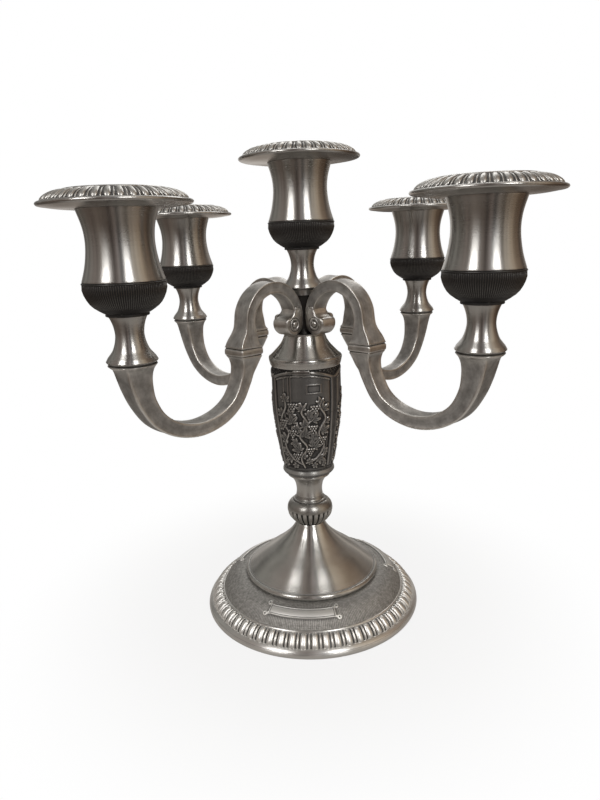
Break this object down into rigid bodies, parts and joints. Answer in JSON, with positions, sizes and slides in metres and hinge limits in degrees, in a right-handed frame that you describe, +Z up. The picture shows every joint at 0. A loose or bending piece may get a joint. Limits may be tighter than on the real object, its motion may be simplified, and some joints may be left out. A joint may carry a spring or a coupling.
{
  "type": "tabletop candelabra",
  "caption": "Pewter candelabra with a central light above arms that scroll out from a vase-shaped stem on a round stepped foot, each light a waisted candle socket with a loose drip pan.",
  "frame": {"origin": "centre of the foot's underside, on the table", "axes": "+Z up along the stem, -Y to the front, arms on the diagonals between X and Y"},
  "size_m": [0.2262, 0.2262, 0.2727],
  "materials": {
    "pewter_cast": "satin cast pewter with dark patina in the recesses",
    "pewter_turned": "satin turned pewter with fine lathe marks",
    "pewter_dark": "dark patinated pewter with rubbed highlights",
    "steel": "plain zinc-plated steel"
  },
  "bodies": {
    "candelabra": {"base_foot": "pewter_cast", "trumpet": "pewter_turned", "knop": "pewter_turned", "stem_collar": "pewter_turned", "body_vase": "pewter_dark", "shoulder_cap": "pewter_turned", "hub_spindle": "pewter_dark", "tie_rod": "steel", "base_washer": "steel", "base_nut": "steel", "top_nut": "steel", "light_screws": "steel", "arm_back_right": "pewter_cast", "arm_back_left": "pewter_cast", "arm_front_left": "pewter_cast", "arm_front_right": "pewter_cast", "neck_back_right": "pewter_turned", "bowl_back_right": "pewter_dark", "sleeve_back_right": "pewter_turned", "neck_back_left": "pewter_turned", "bowl_back_left": "pewter_dark", "sleeve_back_left": "pewter_turned", "neck_front_left": "pewter_turned", "bowl_front_left": "pewter_dark", "sleeve_front_left": "pewter_turned", "neck_front_right": "pewter_turned", "bowl_front_right": "pewter_dark", "sleeve_front_right": "pewter_turned", "neck_centre": "pewter_turned", "bowl_centre": "pewter_dark", "sleeve_centre": "pewter_turned"},
    "pan_back_right": {"drip_pan_back_right": "pewter_turned"},
    "pan_back_left": {"drip_pan_back_left": "pewter_turned"},
    "pan_front_left": {"drip_pan_front_left": "pewter_turned"},
    "pan_front_right": {"drip_pan_front_right": "pewter_turned"},
    "pan_centre": {"drip_pan_centre": "pewter_turned"}
  },
  "joints": [
    {"name": "pan_lift_back_right", "type": "slide", "parent": "candelabra", "child": "pan_back_right", "axis": [0, 0, 1], "range_m": [0, 0.03]},
    {"name": "pan_lift_back_left", "type": "slide", "parent": "candelabra", "child": "pan_back_left", "axis": [0, 0, 1], "range_m": [0, 0.03]},
    {"name": "pan_lift_front_left", "type": "slide", "parent": "candelabra", "child": "pan_front_left", "axis": [0, 0, 1], "range_m": [0, 0.03]},
    {"name": "pan_lift_front_right", "type": "slide", "parent": "candelabra", "child": "pan_front_right", "axis": [0, 0, 1], "range_m": [0, 0.03]},
    {"name": "pan_lift_centre", "type": "slide", "parent": "candelabra", "child": "pan_centre", "axis": [0, 0, 1], "range_m": [0, 0.03]}
  ]
}
